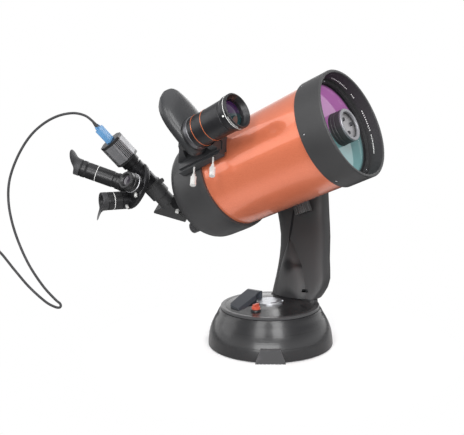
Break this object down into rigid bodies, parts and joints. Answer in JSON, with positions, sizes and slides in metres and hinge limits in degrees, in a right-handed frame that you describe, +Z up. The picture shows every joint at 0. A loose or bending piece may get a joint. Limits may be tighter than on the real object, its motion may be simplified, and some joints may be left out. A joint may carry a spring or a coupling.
{
  "type": "catadioptric telescope",
  "caption": "Catadioptric telescope with an orange tube on a motorised single-arm altazimuth mount, with an alignment camera and a multi-port eyepiece turret.",
  "frame": {"origin": "centre of the base's underside, on the ground", "axes": "+Z up, +X the way the tube points at rest, +Y towards the fork arm"},
  "size_m": [0.9972, 0.6194, 0.6041],
  "materials": {
    "satin_black": "satin",
    "charcoal_plastic": "satin",
    "gloss_black": "gloss",
    "graphite_plastic": "satin",
    "black_anodised": "satin",
    "orange_paint": "gloss",
    "signal_orange": "gloss",
    "silver_metal": "satin",
    "bright_chrome": "polished",
    "bare_steel": "satin",
    "cast_aluminium": "cast",
    "gear_brass": "satin",
    "coated_glass": "polished",
    "mirror_coat": "polished",
    "blue_plastic": "satin",
    "black_rubber": "matte"
  },
  "bodies": {
    "base": {"base_shell": "charcoal_plastic", "base_plate": "cast_aluminium", "base_feet": "black_rubber", "azimuth_gear": "gear_brass"},
    "turntable": {"turntable": "gloss_black", "azimuth_bearing": "bare_steel", "control_pod": "graphite_plastic", "azimuth_motor": "bare_steel", "arm_inner_cover": "charcoal_plastic", "arm_outer_cover": "charcoal_plastic", "arm_frame": "cast_aluminium", "altitude_bearings": "bare_steel", "altitude_motor": "bare_steel"},
    "azimuth_drive": {"azimuth_pinion": "gear_brass"},
    "altitude_drive": {"altitude_pinion": "gear_brass"},
    "power_knob": {"power_knob": "signal_orange"},
    "battery_cover": {"battery_cover": "silver_metal"},
    "optical_tube": {"altitude_shaft": "bare_steel", "altitude_gear": "gear_brass", "saddle": "black_anodised", "dovetail_bar": "black_anodised", "tube": "orange_paint", "front_cell": "satin_black", "corrector_lens": "coated_glass", "retaining_ring": "satin_black", "secondary_housing": "satin_black", "secondary_ring": "silver_metal", "secondary_plate": "silver_metal", "secondary_mirror": "mirror_coat", "collimation_screws": "bare_steel", "baffle_tube": "satin_black", "rear_cell": "satin_black", "visual_back": "black_anodised", "finder_shoe": "satin_black", "finder_bracket": "satin_black", "finder_body": "graphite_plastic", "finder_barrel": "black_anodised", "finder_rings": "signal_orange", "finder_lens": "coated_glass"},
    "clamp_knob": {"clamp_knob": "satin_black"},
    "clamp_jaw": {"clamp_jaw": "bare_steel"},
    "focus_knob": {"focus_knob": "black_rubber"},
    "mirror_carriage": {"primary_mirror": "mirror_coat", "mirror_carrier": "cast_aluminium"},
    "visual_back_screw": {"visual_back_screw": "bright_chrome"},
    "finder_screw_rear": {"finder_screw_rear": "bright_chrome"},
    "finder_screw_front": {"finder_screw_front": "bright_chrome"},
    "diagonal": {"diagonal_body": "satin_black", "diagonal_mirror": "mirror_coat", "turret_base": "black_anodised"},
    "diagonal_screw": {"diagonal_screw": "satin_black"},
    "turret": {"turret_head": "black_anodised", "port_screws": "bright_chrome", "long_eyepiece": "satin_black", "short_eyepiece": "satin_black", "near_eyepiece": "satin_black", "eyecups": "black_rubber", "camera_body": "silver_metal", "camera_plug": "blue_plastic", "cable": "black_rubber"}
  },
  "joints": [
    {"name": "azimuth", "type": "hinge", "parent": "base", "child": "turntable", "pos_m": [0, 0, 0.064], "axis": [0, 0, 1], "continuous": true, "deforming": ["cable"]},
    {"name": "azimuth_drive", "type": "hinge", "parent": "turntable", "child": "azimuth_drive", "pos_m": [-0.03807, -0.01775, 0.043], "axis": [0, 0, 1], "continuous": true},
    {"name": "altitude", "type": "hinge", "parent": "turntable", "child": "optical_tube", "pos_m": [-0.02696, 0.1623, 0.40362], "axis": [0, -1, 0], "range_deg": [-20, 15], "deforming": ["cable"]},
    {"name": "altitude_drive", "type": "hinge", "parent": "turntable", "child": "altitude_drive", "pos_m": [-0.0115, 0.1658, 0.36457], "axis": [0, -1, 0], "range_deg": [-125, 125]},
    {"name": "power_knob", "type": "hinge", "parent": "turntable", "child": "power_knob", "pos_m": [0.011, -0.07, 0.096], "axis": [0, 0, 1], "range_deg": [0, 90]},
    {"name": "battery_cover", "type": "slide", "parent": "turntable", "child": "battery_cover", "axis": [0, 0, 1], "range_m": [0, 0.012]},
    {"name": "clamp_knob", "type": "hinge", "parent": "optical_tube", "child": "clamp_knob", "pos_m": [0.01353, 0.119, 0.30135], "axis": [0.3681, 0, -0.9298], "range_deg": [0, 330]},
    {"name": "clamp_jaw", "type": "slide", "parent": "optical_tube", "child": "clamp_jaw", "axis": [0.3681, 0, -0.9298], "range_m": [0, 0.0011]},
    {"name": "focus_knob", "type": "hinge", "parent": "optical_tube", "child": "focus_knob", "pos_m": [-0.18122, -0.0417, 0.26081], "axis": [0.9298, 0, 0.3681], "range_deg": [-1160, 1160]},
    {"name": "mirror_slide", "type": "slide", "parent": "optical_tube", "child": "mirror_carriage", "axis": [0.9298, 0, 0.3681], "range_m": [-0.0024, 0.0024]},
    {"name": "visual_back_screw", "type": "hinge", "parent": "optical_tube", "child": "visual_back_screw", "pos_m": [-0.26416, -0.01702, 0.291], "axis": [0.2463, -0.7431, -0.6221], "range_deg": [-360, 0]},
    {"name": "finder_screw_rear", "type": "hinge", "parent": "optical_tube", "child": "finder_screw_rear", "pos_m": [-0.10357, -0.13442, 0.39609], "axis": [0.3188, -0.5, -0.8052], "range_deg": [-360, 0]},
    {"name": "finder_screw_front", "type": "hinge", "parent": "optical_tube", "child": "finder_screw_front", "pos_m": [-0.04964, -0.13442, 0.41744], "axis": [0.3188, -0.5, -0.8052], "range_deg": [-360, 0]},
    {"name": "diagonal_roll", "type": "hinge", "parent": "optical_tube", "child": "diagonal", "pos_m": [-0.29939, 0.0023, 0.29576], "axis": [0.9298, 0, 0.3681], "range_deg": [-37, 37], "deforming": ["cable"]},
    {"name": "diagonal_screw", "type": "hinge", "parent": "diagonal", "child": "diagonal_screw", "pos_m": [-0.29443, -0.04464, 0.36473], "axis": [0.9298, 0, 0.3681], "range_deg": [-360, 0]},
    {"name": "turret_spin", "type": "hinge", "parent": "diagonal", "child": "turret", "pos_m": [-0.34005, -0.08446, 0.35364], "axis": [-0.3833, -0.8287, 0.4078], "continuous": true, "deforming": ["cable"]}
  ],
  "couplings": [
    {"joint": "azimuth_drive", "follows": "azimuth", "ratio": 6},
    {"joint": "altitude_drive", "follows": "altitude", "ratio": -6},
    {"joint": "clamp_knob", "follows": "clamp_jaw", "rad_per_m": 5026.5},
    {"joint": "focus_knob", "follows": "mirror_slide", "rad_per_m": 8377.6}
  ]
}
